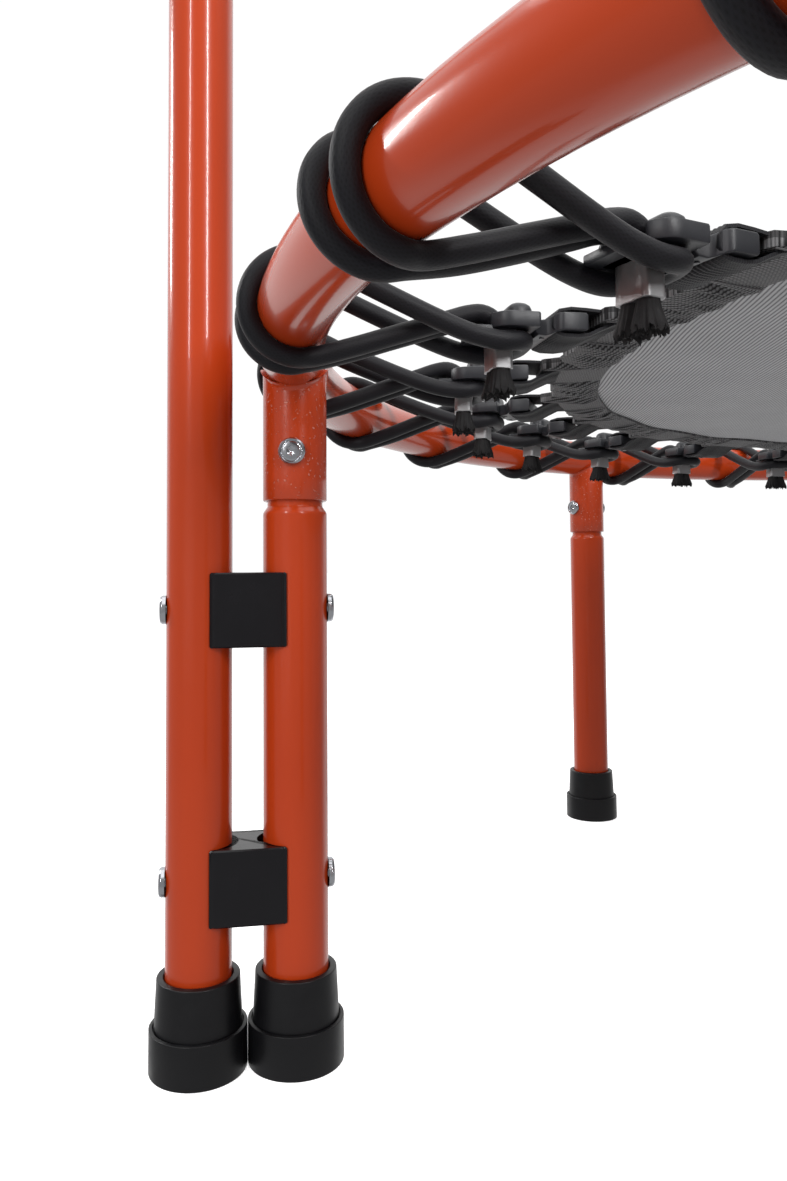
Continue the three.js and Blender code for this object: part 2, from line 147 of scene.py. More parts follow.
class Nodes:
    """A node tree, with short calls for the nodes that the looks need."""

    def __init__(self, tree, space):
        self.tree = tree
        self.place = self.add("ShaderNodeTexCoord").outputs[space]

    def add(self, kind, **settings):
        node = self.tree.nodes.new(kind)
        for key, value in settings.items():
            setattr(node, key, value)
        return node

    def link(self, source, target):
        if isinstance(source, (int, float, tuple)):
            target.default_value = source
        else:
            self.tree.links.new(source, target)

    def split(self, vector):
        node = self.add("ShaderNodeSeparateXYZ")
        self.link(vector, node.inputs[0])
        return node.outputs

    def noise(self, scale, detail=2, roughness=0.5, vector=None):
        node = self.add("ShaderNodeTexNoise")
        node.inputs["Scale"].default_value = scale
        node.inputs["Detail"].default_value = detail
        node.inputs["Roughness"].default_value = roughness
        self.link(vector or self.place, node.inputs["Vector"])
        return node.outputs["Fac"]

    def remap(self, value, low, high, to_low=0.0, to_high=1.0, shape="LINEAR"):
        node = self.add("ShaderNodeMapRange", interpolation_type=shape)
        self.link(value, node.inputs["Value"])
        node.inputs["From Min"].default_value = low
        node.inputs["From Max"].default_value = high
        node.inputs["To Min"].default_value = to_low
        node.inputs["To Max"].default_value = to_high
        return node.outputs["Result"]

    def math(self, operation, a, b=0.0):
        node = self.add("ShaderNodeMath", operation=operation)
        self.link(a, node.inputs[0])
        self.link(b, node.inputs[1])
        return node.outputs[0]

    def wave(self, value):
        """A sine that is zero at every whole number."""
        return self.math("SINE", self.math("MULTIPLY", value, math.pi))

    def blend(self, a, share_a, b, share_b):
        return self.math("ADD", self.math("MULTIPLY", a, share_a), self.math("MULTIPLY", b, share_b))

    def mix(self, share, a, b):
        node = self.add("ShaderNodeMix", data_type="RGBA")
        self.link(share, node.inputs["Factor"])
        self.link(a, node.inputs["A"])
        self.link(b, node.inputs["B"])
        return node.outputs["Result"]

    def bump(self, height, distance, strength=1.0, normal=None):
        node = self.add("ShaderNodeBump")
        node.inputs["Distance"].default_value = distance
        node.inputs["Strength"].default_value = strength
        self.link(height, node.inputs["Height"])
        if normal is not None:
            self.link(normal, node.inputs["Normal"])
        return node.outputs["Normal"]


class MaterialNodes(Nodes):
    """The node tree of a new material, in the object's own coordinates."""

    def __init__(self, name, **settings):
        self.material = bpy.data.materials.new(name)
        self.material.use_nodes = True
        super().__init__(self.material.node_tree, "Object")
        self.shader = self.tree.nodes["Principled BSDF"]
        self.finish(**settings)

    def finish(self, **values):
        for key, value in values.items():
            self.link(value, self.shader.inputs[key.replace("_", " ")])
        return self.material


def rgba(red, green, blue):
    return (red, green, blue, 1.0)


def paint_material():
    """Glossy orange-red powder coat: a slight orange peel and a little colour drift."""
    n = MaterialNodes("orange_paint", Specular_IOR_Level=0.24)
    return n.finish(
        Base_Color=n.mix(n.noise(9, 3), rgba(0.41, 0.038, 0.006), rgba(0.48, 0.05, 0.009)),
        Roughness=0.25,
        Normal=n.bump(n.noise(420, 2), 0.00006, 0.35),
        Coat_Weight=0.35,
        Coat_Roughness=0.07,
    )


PAINT = paint_material()


def rough_paint_material():
    """The same coat over a weld, with spatter under it, its specks painted lighter as painted glints."""
    n = MaterialNodes("orange_paint_weld", Specular_IOR_Level=0.4)
    colour = n.mix(n.noise(9, 3), rgba(0.40, 0.036, 0.006), rgba(0.48, 0.05, 0.009))
    spatter_and_glint = n.remap(n.noise(620, 1), 0.66, 0.74)
    peel = n.noise(300, 3)
    return n.finish(
        # Painted glints: the spatter specks are painted lighter than the coat.
        Base_Color=n.mix(n.math("MULTIPLY", spatter_and_glint, 0.35), colour, rgba(0.85, 0.4, 0.3)),
        Roughness=0.27,
        Normal=n.bump(spatter_and_glint, 0.0006, 0.7, n.bump(peel, 0.00015, 0.5)),
        Coat_Weight=0.35,
        Coat_Roughness=0.12,
    )


ROUGH_PAINT = rough_paint_material()


def plain_material(name, colour, roughness, metallic, grain, grain_depth, spread=0.2, gloss=0.5):
    """A moulded or metal finish: a fine grain and slight drift of colour and gloss."""
    n = MaterialNodes(name, Metallic=metallic, Specular_IOR_Level=gloss)
    light = tuple(min(1.0, c * (1 + spread)) for c in colour)
    dark = tuple(c * (1 - spread) for c in colour)
    return n.finish(
        Base_Color=n.mix(n.noise(60, 4), rgba(*dark), rgba(*light)),
        Roughness=n.remap(n.noise(120, 3), 0.3, 0.7, roughness * 0.85, roughness * 1.15),
        Normal=n.bump(n.noise(grain, 2), grain_depth, 0.4),
    )


STEEL = plain_material("bright_steel", (0.48, 0.49, 0.52), 0.22, 1.0, 500, 0.00004, spread=0.08)
ALUMINIUM = plain_material("crimp_aluminium", (0.42, 0.42, 0.425), 0.55, 1.0, 700, 0.00008, spread=0.1)
RUBBER = plain_material("black_rubber", (0.0045, 0.0045, 0.0055), 0.4, 0.0, 1500, 0.00006, gloss=0.35)
PLASTIC = plain_material("black_plastic", (0.007, 0.0065, 0.008), 0.22, 0.0, 1800, 0.00002, gloss=0.28)
HOOK_PLASTIC = plain_material("hook_plastic", (0.018, 0.019, 0.023), 0.44, 0.0, 2200, 0.00008, 0.25, 0.45)
CORD_END = plain_material("cord_cut_end", (0.012, 0.0115, 0.012), 0.8, 0.0, 2600, 0.0003, 0.4, 0.3)
THREAD = plain_material("stitching", (0.13, 0.13, 0.135), 0.7, 0.0, 2400, 0.0003, spread=0.4)
FOAM = plain_material("black_foam", (0.014, 0.014, 0.014), 0.85, 0.0, 1400, 0.0005)


def cord_material():
    """Braided sheath: two families of fine helical yarns, drawn out lengthways by the stretch."""
    n = MaterialNodes("elastic_cord", Sheen_Weight=0.06, Sheen_Roughness=0.3, Specular_IOR_Level=0.28)
    parts = n.split(n.add("ShaderNodeUVMap").outputs["UV"])
    around = n.math("MULTIPLY", parts["X"], 20.0)
    along = n.math("MULTIPLY", parts["Y"], 8.0)
    one = n.wave(n.math("ADD", around, along))
    two = n.wave(n.math("SUBTRACT", around, along))
    height = n.math("MAXIMUM", n.math("ABSOLUTE", one), n.math("ABSOLUTE", two))
    stretched = n.add("ShaderNodeCombineXYZ")
    n.link(n.math("MULTIPLY", parts["X"], 9.0), stretched.inputs[0])
    n.link(n.math("MULTIPLY", parts["Y"], 0.5), stretched.inputs[1])
    streak = n.noise(2.2, 4, 0.6, stretched.outputs[0])
    relief = n.math("ADD", n.math("MULTIPLY", height, 0.35), streak)
    shade = n.blend(height, 0.4, streak, 0.8)
    return n.finish(
        Base_Color=n.mix(
            n.remap(shade, 0.35, 0.95), rgba(0.0012, 0.0012, 0.0018), rgba(0.0085, 0.0083, 0.0115)
        ),
        Roughness=n.remap(streak, 0.3, 0.7, 0.5, 0.66),
        Normal=n.bump(relief, 0.00022, 0.5),
    )


CORD = cord_material()


def weave_material(name, dark, light, turn, pitch, depth, contrast=(0.25, 0.95), sheen=0.08, top=1.0):
    """Woven cloth: ribs turned by some degrees, crossed by finer yarns. Its upper side is painted top times
    as light as its underside: lit and shaded copies of one cloth, painted light and shade.
    """
    n = MaterialNodes(name, Sheen_Weight=sheen, Specular_IOR_Level=0.3)
    place = n.split(n.place)
    x, y = place["X"], place["Y"]
    a = math.radians(turn)
    rib_pitch, yarn_pitch = pitch
    sideways = n.math("MULTIPLY", n.blend(x, -math.sin(a), y, math.cos(a)), 1 / rib_pitch)
    forwards = n.math("MULTIPLY", n.blend(x, math.cos(a), y, math.sin(a)), 1 / yarn_pitch)
    ribs = n.math("ADD", sideways, n.math("MULTIPLY", n.noise(9, 2), 0.9))
    offset = n.math("MULTIPLY", n.math("FLOOR", ribs), 0.5)
    rib = n.math("ABSOLUTE", n.wave(ribs))
    yarn = n.math("ABSOLUTE", n.wave(n.math("ADD", forwards, offset)))
    height = n.blend(rib, 0.7, yarn, 0.35)
    wear = n.noise(25, 4)
    # Painted shade: the upper side, above the mat's height, is darkened to top times the underside's colour.
    upper_side_painted_shade = n.math("GREATER_THAN", place["Z"], MAT_HEIGHT * MM)
    side = n.remap(upper_side_painted_shade, 0.0, 1.0, 1.0, top)
    shade = n.math("MULTIPLY", n.remap(height, *contrast), n.remap(wear, 0.25, 0.75, 0.8, 1.0))
    return n.finish(
        Base_Color=n.mix(n.math("MULTIPLY", shade, side), rgba(*dark), rgba(*light)),
        Roughness=n.remap(wear, 0.0, 1.0, 0.55, 0.75),
        Normal=n.bump(height, depth, 0.7),
    )


# The mat mesh's light grey is painted light, as if lit through from below. Its upper side is painted darker,
# at 0.16 of its underside.
MESH = weave_material(
    "mat_mesh", (0.03, 0.03, 0.034), (0.54, 0.545, 0.56), -34, (0.0022, 0.0015), 0.0005, top=0.16
)
# The border's upper side is painted darker, at 0.3 of its underside: painted shade.
BORDER = weave_material(
    "mat_border",
    (0.003, 0.003, 0.004),
    (0.18, 0.18, 0.185),
    22,
    (0.0018, 0.0014),
    0.0007,
    contrast=(0.5, 1.0),
    top=0.3,
)
WEBBING = weave_material(
    "webbing", (0.002, 0.002, 0.003), (0.012, 0.012, 0.015), 0, (0.0019, 0.0011), 0.0004, sheen=0.02
)


# ---------------------------------------------------------------- mesh helpers


def mesh_object(name, bm, material, crease=35):
    """Turns a bmesh into a smooth-shaded object, sharp where its faces meet at more than crease degrees."""
    bmesh.ops.recalc_face_normals(bm, faces=bm.faces)
    mesh = bpy.data.meshes.new(name)
    bm.to_mesh(mesh)
    bm.free()
    mesh.shade_smooth()
    mesh.set_sharp_from_angle(angle=math.radians(crease))
    mesh.materials.append(material)
    obj = bpy.data.objects.new(name, mesh)
    bpy.context.scene.collection.objects.link(obj)
    return obj


def instance(name, mesh):
    """Another object of the same mesh."""
    obj = bpy.data.objects.new(name, mesh)
    bpy.context.scene.collection.objects.link(obj)
    return obj


def angles(steps):
    """Angles evenly round a full turn."""
    return [math.tau * i / steps for i in range(steps)]


def circle(radius, height, steps):
    """A level ring of points about +Z, from sizes in mm."""
    return [Vector((radius * math.cos(a), radius * math.sin(a), height)) * MM for a in angles(steps)]


def add_loft(bm, loops, closed_ends=True, uv=None, cyclic=False):
    """Joins rings of points (each a list of Vectors) into a tube."""
    rings = [[bm.verts.new(p) for p in loop] for loop in loops]
    pairs = list(zip(rings, rings[1:]))
    if cyclic:
        pairs.append((rings[-1], rings[0]))
    layer = bm.loops.layers.uv.verify() if uv else None
    for k, (a, b) in enumerate(pairs):
        count = len(a)
        for i in range(count):
            j = (i + 1) % count
            face = bm.faces.new((a[i], a[j], b[j], b[i]))
            if uv:
                corners = ((i, k), (i + 1, k), (i + 1, k + 1), (i, k + 1))
                for loop, (u, v) in zip(face.loops, corners):
                    loop[layer].uv = (u / count, uv[v])
    if closed_ends and not cyclic:
        bm.faces.new(list(reversed(rings[0])))
        bm.faces.new(rings[-1])


def lathe_mesh(name, profile, material, steps=64):
    """Turns (radius, height) pairs in mm about +Z; a radius of 0 closes the form."""
    bm = bmesh.new()
    add_loft(bm, [circle(max(radius, 0.001), height, steps) for radius, height in profile])
    return mesh_object(name, bm, material)


def corner_points(before, corner, after, radius, limit, steps):
    """Points that round off a plane corner, over no more than a limit share of each side."""
    p, c, q = (Vector(x[:2]) for x in (before, corner, after))
    if radius <= 0:
        return [c]
    to_p = (p - c).normalized()
    to_q = (q - c).normalized()
    half = to_p.angle(to_q) / 2
    reach = min(radius / math.tan(half), (p - c).length * limit, (q - c).length * limit)
    start, end = c + to_p * reach, c + to_q * reach
    shares = [i / steps for i in range(steps + 1)]
    return [(1 - t) ** 2 * start + 2 * t * (1 - t) * c + t * t * end for t in shares]


def rounded(corners, radius, steps=5):
    """A profile through the corners, each inner corner rounded. Entries are (r, z) or (r, z, radius)."""
    out = [tuple(corners[0][:2])]
    for before, corner, after in zip(corners, corners[1:], corners[2:]):
        r = corner[2] if len(corner) > 2 else radius
        out += [tuple(p) for p in corner_points(before, corner, after, r, 0.49, steps)]
    out.append(tuple(corners[-1][:2]))
    return out


def outline(corners, steps=5):
    """A closed plane outline through (x, y, radius) corners, each rounded."""
    out = []
    for i, corner in enumerate(corners):
        after = corners[(i + 1) % len(corners)]
        out += corner_points(corners[i - 1], corner, after, corner[2], 0.48, steps)
    return out


def smooth_path(points, spacing):
    """A centripetal Catmull-Rom curve through points, as points an even spacing apart."""
    pts = [np.array(p, float) for p in points]
    pts = [2 * pts[0] - pts[1]] + pts + [2 * pts[-1] - pts[-2]]
    fine = []
    for p0, p1, p2, p3 in zip(pts, pts[1:], pts[2:], pts[3:]):
        t0 = 0.0
        t1 = t0 + np.linalg.norm(p1 - p0) ** 0.5
        t2 = t1 + np.linalg.norm(p2 - p1) ** 0.5
        t3 = t2 + np.linalg.norm(p3 - p2) ** 0.5
        for t in np.linspace(t1, t2, 24, endpoint=False):
            a1 = (t1 - t) / (t1 - t0) * p0 + (t - t0) / (t1 - t0) * p1
            a2 = (t2 - t) / (t2 - t1) * p1 + (t - t1) / (t2 - t1) * p2
            a3 = (t3 - t) / (t3 - t2) * p2 + (t - t2) / (t3 - t2) * p3
            b1 = (t2 - t) / (t2 - t0) * a1 + (t - t0) / (t2 - t0) * a2
            b2 = (t3 - t) / (t3 - t1) * a2 + (t - t1) / (t3 - t1) * a3
            fine.append((t2 - t) / (t2 - t1) * b1 + (t - t1) / (t2 - t1) * b2)
    fine.append(pts[-2])
    fine = np.array(fine)
    lengths = np.concatenate([[0], np.cumsum(np.linalg.norm(np.diff(fine, axis=0), axis=1))])
    count = max(2, int(round(lengths[-1] / spacing)) + 1)
    even = np.linspace(0, lengths[-1], count)
    return np.stack([np.interp(even, lengths, fine[:, k]) for k in range(3)], axis=1), even


def add_tube(bm, points, radius, sides, lengths=None):
    """Sweeps a round section along points, without twist. radius is a number or one per point."""
    pts = [Vector(p) for p in points]
    count = len(pts)
    radii = radius if hasattr(radius, "__len__") else [radius] * count
    tangents = [(pts[min(i + 1, count - 1)] - pts[max(i - 1, 0)]).normalized() for i in range(count)]
    side = tangents[0].orthogonal().normalized()
    loops = []
    for p, t, r in zip(pts, tangents, radii):
        side = (side - t * side.dot(t)).normalized()
        other = t.cross(side)
        loops.append([p + side * (r * math.cos(a)) + other * (r * math.sin(a)) for a in angles(sides)])
    girth = math.tau * radii[0]
    add_loft(bm, loops, uv=None if lengths is None else [v / girth for v in lengths])


def placed(x, y, azimuth=0.0, height=0.0):
    """A transform to a place in mm, turned about +Z."""
    return Matrix.Translation(Vector((x, y, height)) * MM) @ Matrix.Rotation(math.radians(azimuth), 4, "Z")


def put(obj, body, node=None):
    """Says which body a piece rides on, which CAD node it replaces."""
    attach(obj, body)
    if node:
        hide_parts(node)


def put_copies(source, places, body):
    """Puts a piece at the first place and copies of it at the others: (name, node, transform) for each."""
    for k, (name, node, matrix) in enumerate(places):
        obj = source if k == 0 else instance(name, source.data)
        obj.matrix_world = matrix
        put(obj, body, node)


def stand(leg):
    """An upright's direction in degrees from its leg, the point midway to it and its axis, both in mm."""
    azimuth = HANDLEBAR_LEGS[leg]
    direction = azimuth + math.copysign(UPRIGHT_TURN, 270 - azimuth)
    leg_axis = polar(azimuth, RING_RADIUS) / MM
    axis = leg_axis + polar(direction, UPRIGHT_SPACING) / MM
    return direction, (leg_axis + axis) / 2, axis


# ---------------------------------------------------------------- ring, sockets and welds


def make_ring():
    bm = bmesh.new()
    steps, sides = 240, 40
    loops = []
    for i in range(steps):
        loop = []
        for b in angles(sides):
            out = RING_RADIUS + TUBE_RADIUS * math.cos(b)
            loop.append(polar(360 * i / steps, out, 0, RING_HEIGHT + TUBE_RADIUS * math.sin(b)))
        loops.append(loop)
    add_loft(bm, loops, cyclic=True)
    ring = mesh_object("ring_tube", bm, PAINT)
    put(ring, "frame", "ring_frame")


def ring_underside(angle, radius):
    """Height of the ring tube's lower surface over a point of the socket's outline, in mm."""
    x = radius * math.cos(angle)
    return RING_HEIGHT - math.sqrt(max(TUBE_RADIUS**2 - x * x, 0.0))


def make_socket_mesh():
    """The short tube that hangs from the ring at each leg, open below, with its top scribed to the ring."""
    bm = bmesh.new()
    steps = 72
    inner = NECK_RADIUS + 0.25
    levels = [(TUBE_RADIUS - TUBE_WALL, 320)]
    levels += [(inner, SOCKET_BOTTOM + CORNER), (inner + CORNER, SOCKET_BOTTOM)]
    levels += [(TUBE_RADIUS - CORNER, SOCKET_BOTTOM), (TUBE_RADIUS, SOCKET_BOTTOM + CORNER)]
    levels += [(TUBE_RADIUS, z) for z in (284, 296, 308, 316)]
    loops = [circle(r, z, steps) for r, z in levels]
    crown = []
    for a in angles(steps):
        top = ring_underside(a, TUBE_RADIUS * 0.93) + 1
        crown.append(Vector((TUBE_RADIUS * math.cos(a), TUBE_RADIUS * math.sin(a), top)) * MM)
    add_loft(bm, loops + [crown], closed_ends=False)
    return mesh_object("socket_1", bm, ROUGH_PAINT, 50)


def make_weld_mesh():
    """The weld in the corner between ring and socket: a fillet, widest along the ring, slightly rippled."""
    bm = bmesh.new()
    loops = []
    for t in np.linspace(0, 1, 9):
        loop = []
        for a in angles(144):
            width = 1.0 + 2.6 * abs(math.sin(a)) + 0.12 * math.sin(29 * a) * math.sin(math.pi * t)
            bow = 1 - math.sqrt(max(0.0, 1 - t * t))
            reach = TUBE_RADIUS - 0.3 + width * bow
            seat = ring_underside(a, min(reach, TUBE_RADIUS * 0.95))
            z = seat + 0.5 - width * 1.25 * (1 - t)
            loop.append(Vector((reach * math.cos(a), reach * math.sin(a), z)) * MM)
        loops.append(loop)
    inner = [Vector((p.x * 0.8, p.y * 0.8, p.z)) for p in loops[-1]]
    low = [Vector((p.x * 0.9, p.y * 0.9, p.z)) for p in loops[0]]
    add_loft(bm, loops + [inner, low], cyclic=True)
    return mesh_object("weld_1", bm, ROUGH_PAINT)


def leg_place(number):
    """The transform of what stands on a leg's axis, turned with the leg. Legs are numbered from 0."""
    azimuth = 360 * number / LEG_COUNT
    at = polar(azimuth, RING_RADIUS) / MM
    return placed(at.x, at.y, azimuth)


def make_sockets():
    sources = [(make_socket_mesh(), "socket"), (make_weld_mesh(), "weld")]
    for i in range(LEG_COUNT):
        for source, name in sources:
            obj = source if i == 0 else instance(f"{name}_{i + 1}", source.data)
            obj.matrix_world = leg_place(i)
            put(obj, "frame", None)


# ---------------------------------------------------------------- legs, feet, bolts


def make_legs():
    """Plain tubes with a shoulder under the socket and a drawn-in neck inside it."""
    profile = rounded(
        [
            (TUBE_RADIUS - TUBE_WALL, LEG_BOTTOM),
            (TUBE_RADIUS, LEG_BOTTOM, 0.4),
            (TUBE_RADIUS, SHOULDER_BOTTOM, 3.5),
            (NECK_RADIUS, SHOULDER_BOTTOM + 3.2, 1.2),
            (NECK_RADIUS, NECK_TOP, 0.4),
            (NECK_RADIUS - TUBE_WALL, NECK_TOP),
        ],
        1,
        6,
    )
    source = lathe_mesh("leg_tube_1", profile, PAINT, 72)
    places = [(f"leg_tube_{i + 1}", f"leg_{i + 1}", leg_place(i)) for i in range(LEG_COUNT)]
    put_copies(source, places, "frame")


def make_feet():
    """Moulded rubber feet: a wide cup with a ledge and a groove, and a cone that grips the tube."""
    bore = TUBE_RADIUS + 0.15
    profile = rounded(
        [
            (0, 0),
            (FOOT_RADIUS, 0, 0.6),
            (FOOT_RADIUS - 0.03, FOOT_LEDGE, 0.35),
            (21.7, FOOT_LEDGE + 0.3, 0.2),
            (21.5, FOOT_LEDGE - 1, 0.2),
            (21.1, FOOT_LEDGE - 1, 0.2),
            (19.9, FOOT_TOP - 0.3, 0.6),
            (bore + 0.5, FOOT_TOP, 0.8),
            (bore, FOOT_TOP - 2.9, 0.4),
            (bore, LEG_BOTTOM, 0),
            (0, LEG_BOTTOM),
        ],
        1,
        5,
    )
    nodes = {f"leg_foot_{i + 1}": polar(360 * i / LEG_COUNT, RING_RADIUS) / MM for i in range(LEG_COUNT)}
    nodes.update({f"upright_foot_{side}": stand(side)[2] for side in HANDLEBAR_LEGS})
    places = [
        ("rubber_" + node, node, placed(at.x, at.y, 37 * k)) for k, (node, at) in enumerate(nodes.items())
    ]
    put_copies(lathe_mesh(places[0][0], profile, RUBBER, 72), places, "frame")


def make_bolt_mesh(name, grip, head):
    """A cross bolt with a rimmed round head of a given radius at each end, each with a hexagon socket."""
    bm = bmesh.new()
    steps = 48
    shank = 3
    seat = grip / 2
    face = seat + 2.6
    profile = [(shank, seat - 2), (shank, seat, 0), (head, seat, 0)]
    profile += [(head, seat + 1.7, 0.6), (head - 0.9, face + 0.5, 0.4)]
    profile += [(head - 1.6, face - 0.6, 0.3), (head - 2.4, face - 0.2, 0.4), (2.9, face)]
    socket = ((0.0, 2.4), (1.1, 2.3), (2.3, 0.2))
    for end in (1, -1):
        flip = Matrix.Diagonal((1, end, end))
        loops = [circle(r, z, steps) for r, z in rounded(profile, 0.5, 5)]
        for depth, reach in socket:
            loop = []
            for a in angles(steps):
                r = reach / math.cos((a + math.pi / 6) % (math.pi / 3) - math.pi / 6)
                loop.append(Vector((r * math.cos(a), r * math.sin(a), face - depth)) * MM)
            loops.append(loop)
        add_loft(bm, [[flip @ p for p in loop] for loop in loops])
    add_loft(bm, [circle(shank, z, 24) for z in (-seat, seat)])
    return mesh_object(name, bm, STEEL, 30)


def lay(azimuth):
    """Turns +Z to a horizontal direction."""
    return Matrix.Rotation(math.radians(azimuth), 4, "Z") @ Matrix.Rotation(math.pi / 2, 4, "Y")


def make_bolts():
    places = []
    for i in range(LEG_COUNT):
        azimuth = 360 * i / LEG_COUNT
        at = Matrix.Translation(polar(azimuth, RING_RADIUS, 0, LEG_BOLT_HEIGHT))
        spin = Matrix.Rotation(0.4 * i, 4, "Z")
        places.append((f"button_bolt_leg_{i + 1}", f"leg_bolt_{i + 1}", at @ lay(azimuth + 90) @ spin))
    source = make_bolt_mesh(places[0][0], 2 * TUBE_RADIUS, 6.6)
    put_copies(source, places, "frame")
    places = []
    for side in HANDLEBAR_LEGS:
        direction, middle = stand(side)[:2]
        for place, height in CLAMP_BOLT_HEIGHTS.items():
            at = Matrix.Translation(Vector((middle.x, middle.y, height)) * MM)
            matrix = at @ lay(direction) @ Matrix.Rotation(0.5 * height, 4, "Z")
            places.append((f"button_bolt_{side}_{place}", f"clamp_bolt_{side}_{place}", matrix))
    source = make_bolt_mesh(places[0][0], UPRIGHT_SPACING + 2 * TUBE_RADIUS, 7.1)
    put_copies(source, places, "frame")


def make_spacer_mesh():
    """The moulded block between leg and upright: H-shaped in plan, hollowed where each tube lies."""
    half, depth, lip = 18.3, 16.5, 2.8
    centre, radius = 20.9, 16.35
    top, edge = SPACER_HEIGHT / 2, 0.7
    plan = []

    def corner(x, y, start):
        for i in range(6):
            a = math.radians(start + 90 * i / 5)
            plan.append((x + lip * math.cos(a), y + lip * math.sin(a)))

    def saddle(x, start):
        for i in range(21):
            a = start + mouth - 2 * mouth * i / 20
            plan.append((x + radius * math.cos(a), radius * math.sin(a)))

    mouth = math.acos((centre - half) / radius)
    corner(-half + lip, -depth + lip, 180)
    corner(half - lip, -depth + lip, 270)
    saddle(centre, math.pi)
    corner(half - lip, depth - lip, 0)
    corner(-half + lip, depth - lip, 90)
    saddle(-centre, 0)
    bm = bmesh.new()
    loops = []
    for z, inwards in ((-top, edge), (-top + edge, 0), (top - edge, 0), (top, edge)):
        k = 1 - inwards / top
        loops.append([Vector((x * k, y * k, z)) * MM for x, y in plan])
    add_loft(bm, loops)
    return mesh_object("block_left_lower", bm, PLASTIC, 30)


def make_spacers():
    places = []
    for side in HANDLEBAR_LEGS:
        direction, middle = stand(side)[:2]
        for place, height in CLAMP_BOLT_HEIGHTS.items():
            matrix = placed(middle.x, middle.y, direction, height)
            places.append((f"block_{side}_{place}", f"spacer_{side}_{place}", matrix))
    put_copies(make_spacer_mesh(), places, "frame")


# ---------------------------------------------------------------- handlebar


def make_uprights():
    """Open tubes, each with a plastic collar at its top and a threaded boss for the knob."""
    wall = TUBE_RADIUS - TUBE_WALL
    top = UPRIGHT_TOP - 6
    corners = [(wall, LEG_BOTTOM), (TUBE_RADIUS, LEG_BOTTOM), (TUBE_RADIUS, top), (wall, top)]
    profile = rounded(corners, 0.4, 4)
    foot = UPRIGHT_TOP - COLLAR_HEIGHT
    collar = rounded(
        [
            (BAR_RADIUS + 0.2, foot),
            (TUBE_RADIUS + 0.05, foot, 0),
            (TUBE_RADIUS + 2.2, foot + 1, 0.6),
            (TUBE_RADIUS + 2.0, UPRIGHT_TOP - 2, 1.5),
            (BAR_RADIUS + 1.6, UPRIGHT_TOP, 1.0),
            (BAR_RADIUS + 0.2, UPRIGHT_TOP - 1, 0.3),
            (BAR_RADIUS + 0.2, foot),
        ],
        0.5,
        5,
    )
    boss = rounded([(4.3, 14.4), (8, 14.4, 0), (8, 20.6, 0.6), (4.3, 21), (4.3, 14.4)], 0.3, 4)
    for side in HANDLEBAR_LEGS:
        axis = stand(side)[2]
        tube = lathe_mesh(f"upright_tube_{side}", profile, PAINT, 80)
        tube.matrix_world = placed(axis.x, axis.y)
        put(tube, "frame", f"upright_{side}")
        sleeve = lathe_mesh(f"upright_collar_{side}", collar, PLASTIC, 64)
        sleeve.matrix_world = placed(axis.x, axis.y)
        put(sleeve, "frame", None)
        nut = lathe_mesh(f"knob_boss_{side}", boss, PAINT, 48)
        nut.matrix_world = knob_place(side)
        put(nut, "frame", None)


def knob_place(side):
    """The transform that turns +Z out along a height knob's axis."""
    axis = stand(side)[2]
    return Matrix.Translation(Vector((axis.x, axis.y, KNOB_HEIGHT)) * MM) @ lay(270)


def make_knobs():
    """Lobed hand knobs with a crowned face and a metal insert."""
    hub = [(5, 21.4), (9, 21.4, 1), (12, 24, 1.5)]
    face = [(16.6, 25.5, 1.4), (17, 33, 2.5), (10, 35.3, 3), (0.1, 35.6)]
    lobes, lobe_root, lobe_depth = 6, 9, 3.4
    stem_profile = rounded([(0, 13.7), (3.4, 13.7, 0), (4, 14.6, 0), (4, 24, 0), (0, 24)], 0, 2)
    for side in HANDLEBAR_LEGS:
        bm = bmesh.new()
        loops = []
        for r, z in rounded(hub + face, 1, 6):
            loop = []
            for a in angles(96):
                depth = lobe_depth * max(0.0, (r - lobe_root) / 8) ** 1.5
                lobed = r - depth * (0.5 - 0.5 * math.cos(lobes * a)) ** 1.3
                loop.append(Vector((lobed * math.cos(a), lobed * math.sin(a), z)) * MM)
            loops.append(loop)
        add_loft(bm, loops)
        knob = mesh_object(f"knob_{side}", bm, PLASTIC, 40)
        knob.matrix_world = knob_place(side)
        put(knob, f"knob_{side}", f"height_knob_{side}")
        stem = lathe_mesh(f"knob_stem_{side}", stem_profile, STEEL, 32)
        stem.matrix_world = knob_place(side)
        put(stem, f"knob_{side}", None)


def make_handlebar():
    """A tube bent to a U, with a foam sleeve on its cross part."""
    left, right = (stand(side)[2] for side in ("left", "right"))
    y = left.y
    bend = BAR_TOP - BAR_BEND
    points = [Vector((left.x, y, z)) for z in np.linspace(BAR_BOTTOM, bend, 8)]
    for centre, start in ((left.x + BAR_BEND, 180), (right.x - BAR_BEND, 90)):
        for i in range(1, 25):
            a = math.radians(start - 90 * i / 24)
            points.append(Vector((centre + BAR_BEND * math.cos(a), y, bend + BAR_BEND * math.sin(a))))
    points += [Vector((right.x, y, z)) for z in np.linspace(bend, BAR_BOTTOM, 8)[1:]]
    bm = bmesh.new()
    add_tube(bm, [p * MM for p in points], BAR_RADIUS * MM, 48)
    bar = mesh_object("handlebar_tube", bm, PAINT)
    put(bar, "bar", "handlebar")

    half = GRIP_LENGTH / 2
    bore = BAR_RADIUS + 0.2
    end = [(GRIP_RADIUS - 1, half, 2), (GRIP_RADIUS, half - 6, 3)]
    sleeve = [(r, -z, radius) for r, z, radius in end] + end[::-1]
    profile = rounded([(bore, -half)] + sleeve + [(bore, half), (bore, -half)], 1, 6)
    grip = lathe_mesh("grip_sleeve", profile, FOAM, 80)
    grip.matrix_world = Matrix.Translation(Vector((0, y, BAR_TOP)) * MM) @ lay(0)
    put(grip, "bar", "foam_grip")


# ---------------------------------------------------------------- elastic cords


